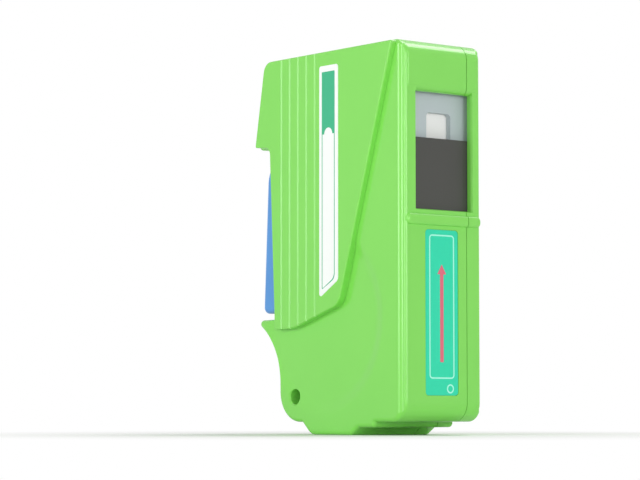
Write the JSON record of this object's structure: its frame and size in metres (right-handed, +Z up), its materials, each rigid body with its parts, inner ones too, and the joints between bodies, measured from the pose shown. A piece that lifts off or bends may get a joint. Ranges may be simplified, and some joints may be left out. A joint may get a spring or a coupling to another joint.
{
  "type": "fibre optic connector cleaning cassette",
  "caption": "Hand-held box-shaped cassette cleaner for fibre connectors: squeeze lever in the back, shuttered window in front, cleaning tape on reels inside.",
  "frame": {"origin": "middle of the surface it stands on, under the centre of its box", "axes": "+Z up along the longest side, -Y is the narrow front face with the window, +Y the back with the lever, -X the broad side with the long label"},
  "size_m": [0.036, 0.0748, 0.1192],
  "materials": {
    "case_green": "moulded ABS, glossy lime green",
    "lever_blue": "moulded ABS, blue",
    "shutter_grey": "moulded acetal, dark grey, satin",
    "plate_grey": "moulded ABS, light grey, satin",
    "gear_white": "moulded acetal, natural white",
    "chassis_black": "moulded ABS, black",
    "pad_rubber": "soft elastomer",
    "tape_white": "woven microfibre tape",
    "felt_grey": "pressed felt",
    "steel": "drawn or zinc-plated steel",
    "front_label": "printed film, teal",
    "side_label": "printed film, white with a green field"
  },
  "bodies": {
    "case": {"main_shell": "case_green", "side_cover": "case_green", "case_screws": "steel", "chassis_plate": "chassis_black", "chassis_screws": "steel", "window_plate": "plate_grey", "backing_pad": "pad_rubber", "cleaning_tape": "tape_white", "supply_drag_washer": "felt_grey", "guide_roller_pins": "steel", "lever_pivot_pin": "steel", "shutter_gear_pin": "steel", "shutter_spring": "steel", "check_pawl_pin": "steel", "check_pawl_spring": "steel", "front_label": "front_label", "side_label": "side_label"},
    "lever": {"lever": "lever_blue", "drive_pawl_pin": "steel"},
    "drive_pawl": {"drive_pawl": "gear_white"},
    "shutter_gear": {"shutter_gear": "gear_white"},
    "shutter": {"shutter": "shutter_grey"},
    "take_up": {"drive_spindle": "gear_white", "take_up_reel": "gear_white", "take_up_tape_roll": "tape_white"},
    "supply": {"supply_reel": "gear_white", "supply_tape_roll": "tape_white"},
    "upper_roller": {"upper_guide_roller": "gear_white"},
    "lower_roller": {"lower_guide_roller": "gear_white"},
    "check_pawl": {"check_pawl": "gear_white"}
  },
  "joints": [
    {"name": "lever_squeeze", "type": "hinge", "parent": "case", "child": "lever", "pos_m": [0.00007, 0.0261, 0.098], "axis": [1, 0, 0], "range_deg": [-7, 7], "stiffness_Nm_per_rad": 0.3, "springref_deg": 7},
    {"name": "shutter_slide", "type": "slide", "parent": "case", "child": "shutter", "axis": [0, 0, 1], "range_m": [-0.01513, 0.01513], "deforming": ["shutter_spring"]},
    {"name": "shutter_gear_turn", "type": "hinge", "parent": "case", "child": "shutter_gear", "pos_m": [0.00007, -0.012, 0.07048], "axis": [1, 0, 0], "range_deg": [-48.5, 48.5]},
    {"name": "drive_pawl_swing", "type": "hinge", "parent": "lever", "child": "drive_pawl", "pos_m": [0.00007, 0.0271, 0.043], "axis": [1, 0, 0], "range_deg": [-7.2, 7.2]},
    {"name": "take_up_turn", "type": "hinge", "parent": "case", "child": "take_up", "pos_m": [0.00007, -0.0004, 0.031], "axis": [1, 0, 0], "continuous": true},
    {"name": "supply_turn", "type": "hinge", "parent": "case", "child": "supply", "pos_m": [0.00007, 0.0006, 0.091], "axis": [1, 0, 0], "continuous": true},
    {"name": "upper_roller_turn", "type": "hinge", "parent": "case", "child": "upper_roller", "pos_m": [0.00007, -0.02604, 0.104], "axis": [1, 0, 0], "continuous": true},
    {"name": "lower_roller_turn", "type": "hinge", "parent": "case", "child": "lower_roller", "pos_m": [0.00007, -0.02604, 0.0615], "axis": [1, 0, 0], "continuous": true},
    {"name": "check_pawl_swing", "type": "hinge", "parent": "case", "child": "check_pawl", "pos_m": [0.00007, -0.01263, 0.03008], "axis": [1, 0, 0], "range_deg": [-8, 0], "stiffness_Nm_per_rad": 0.001, "springref_deg": 2.86, "deforming": ["check_pawl_spring"]}
  ],
  "couplings": [
    {"joint": "shutter_slide", "follows": "lever_squeeze", "m_per_rad": 0.123},
    {"joint": "shutter_gear_turn", "follows": "lever_squeeze", "ratio": -6.8333},
    {"joint": "drive_pawl_swing", "follows": "lever_squeeze", "ratio": -1},
    {"joint": "supply_turn", "follows": "take_up_turn", "ratio": 0.625},
    {"joint": "upper_roller_turn", "follows": "take_up_turn", "ratio": 2.7778},
    {"joint": "lower_roller_turn", "follows": "take_up_turn", "ratio": 2.7778}
  ]
}
